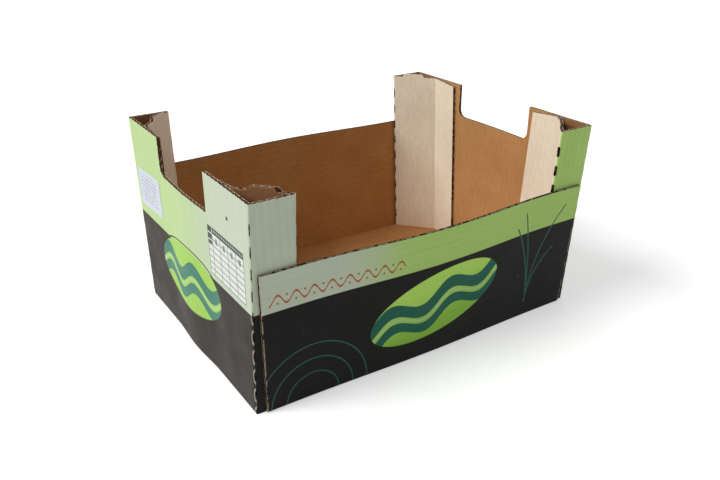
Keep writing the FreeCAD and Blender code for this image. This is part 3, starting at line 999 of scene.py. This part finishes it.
def label_paper():
    """White paper with faint grey bars. It is placed by the tray's own coordinates."""
    surface = Surface("label_paper", LABEL_SPECULAR)
    low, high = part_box("paper_label")
    middle = (low + high) / 2
    _, y, z = surface.split(surface.place)
    across = (y - middle.y) * math.cos(LABEL_TILT) - (z - middle.z) * math.sin(LABEL_TILT)
    up = (z - middle.z) * math.cos(LABEL_TILT) + (y - middle.y) * math.sin(LABEL_TILT)
    bars = surface.stroke(surface.repeat(up - LABEL_BAR_REACH, LABEL_BAR_PITCH), LABEL_BAR)
    bars = bars * surface.between(across, *LABEL_BAR_SPAN)
    bars = bars * surface.between(up, -LABEL_BAR_REACH, LABEL_BAR_REACH)
    bars = bars * surface.ramp(surface.noise(LABEL_FADE_SCALE, LABEL_DETAIL), *LABEL_FADE)
    relief = surface.noise(LABEL_FIBRE_SCALE, LABEL_DETAIL)
    return surface.finish(surface.mix(bars, LABEL_WHITE, LABEL_GREY), LABEL_ROUGHNESS, relief, LABEL_RELIEF)


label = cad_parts["paper_label"]
label.data.materials.clear()
label.data.materials.append(label_paper())

# Floor and world
FLOOR_REACH = 12.0
FLOOR_DROP = 0.1 * MM
FLOOR_COLOUR = (0.93, 0.93, 0.93, 1)
FLOOR_ROUGHNESS = 0.9
FLOOR_SPECULAR = 0.1
FLOOR_GLOW = 0.45
WHITE = (1, 1, 1, 1)
WORLD_LIGHT = 0.3
WORLD_SHOWN = 1


def background_share(tree):
    """1 for a ray that shows the background: from the camera, off a gloss or through a clear piece."""
    path = tree.nodes.new("ShaderNodeLightPath")
    share = path.outputs["Is Camera Ray"]
    for name in ("Is Glossy Ray", "Is Transmission Ray"):
        either = tree.nodes.new("ShaderNodeMath")
        either.operation = "MAXIMUM"
        tree.links.new(share, either.inputs[0])
        tree.links.new(path.outputs[name], either.inputs[1])
        share = either.outputs[0]
    return share


def follow_background(tree, socket, usual, shown):
    """Give a strength one value for light on the object and another for the background that shows."""
    node = tree.nodes.new("ShaderNodeMath")
    node.operation = "MULTIPLY_ADD"
    tree.links.new(background_share(tree), node.inputs[0])
    node.inputs[1].default_value = shown - usual
    node.inputs[2].default_value = usual
    tree.links.new(node.outputs[0], socket)


def make_floor():
    mesh = bpy.data.meshes.new("floor")
    corners = [(-1, -1), (1, -1), (1, 1), (-1, 1)]
    mesh.from_pydata([(x * FLOOR_REACH, y * FLOOR_REACH, 0) for x, y in corners], [], [(0, 1, 2, 3)])
    floor = bpy.data.objects.new("floor", mesh)
    floor.location.z = -FLOOR_DROP
    bpy.context.scene.collection.objects.link(floor)
    material = bpy.data.materials.new("floor")
    material.use_nodes = True
    shader = material.node_tree.nodes["Principled BSDF"]
    shader.inputs["Base Color"].default_value = FLOOR_COLOUR
    shader.inputs["Roughness"].default_value = FLOOR_ROUGHNESS
    shader.inputs["Specular IOR Level"].default_value = FLOOR_SPECULAR
    shader.inputs["Emission Color"].default_value = WHITE
    follow_background(material.node_tree, shader.inputs["Emission Strength"], 0, FLOOR_GLOW)
    mesh.materials.append(material)


def make_world():
    world = bpy.data.worlds.new("studio")
    bpy.context.scene.world = world
    world.use_nodes = True
    background = world.node_tree.nodes["Background"]
    background.inputs["Color"].default_value = WHITE
    follow_background(world.node_tree, background.inputs["Strength"], WORLD_LIGHT, WORLD_SHOWN)


make_floor()
make_world()

# Lamps: a broad sun from the left, and a weak disk in front
LAMP_TARGET = Vector((0, 0, 0.1))
KEY_STRENGTH = 2.35
KEY_SPREAD = math.radians(35)
KEY_PLACE = (-1.6, 0.5, 1.5)
FILL_POWER = 2
FILL_SIZE = 1.6
FILL_PLACE = (0.5, -1.8, 1.1)


def add_lamp(name, lamp, place):
    """Link a lamp that looks at the tray."""
    holder = bpy.data.objects.new(name, lamp)
    holder.location = place
    holder.rotation_euler = (LAMP_TARGET - Vector(place)).to_track_quat("-Z", "Y").to_euler()
    bpy.context.scene.collection.objects.link(holder)


key = bpy.data.lights.new("key", "SUN")
key.energy = KEY_STRENGTH
key.angle = KEY_SPREAD
add_lamp("key", key, KEY_PLACE)

fill = bpy.data.lights.new("fill", "AREA")
fill.shape = "DISK"
fill.size = FILL_SIZE
fill.energy = FILL_POWER
add_lamp("fill", fill, FILL_PLACE)

# Camera. An azimuth of 0 looks along +Y.
CAMERA_AZIMUTH = math.radians(-33.23)
CAMERA_ELEVATION = math.radians(25.29)
CAMERA_DISTANCE = 867.4 * MM
CAMERA_TARGET = Vector((5.95 * MM, 1.62 * MM, 69.74 * MM))
CAMERA_LENS, CAMERA_SENSOR = 37.714, 36.0

camera_data = bpy.data.cameras.new("camera")
camera_data.sensor_width = CAMERA_SENSOR
camera_data.lens = CAMERA_LENS
camera = bpy.data.objects.new("camera", camera_data)
backwards = Vector((
    math.sin(CAMERA_AZIMUTH) * math.cos(CAMERA_ELEVATION),
    -math.cos(CAMERA_AZIMUTH) * math.cos(CAMERA_ELEVATION),
    math.sin(CAMERA_ELEVATION),
))
camera.location = CAMERA_TARGET + backwards * CAMERA_DISTANCE
camera.rotation_euler = (-backwards).to_track_quat("-Z", "Y").to_euler()
bpy.context.scene.collection.objects.link(camera)
bpy.context.scene.camera = camera
bpy.context.scene.view_settings.view_transform = "Standard"
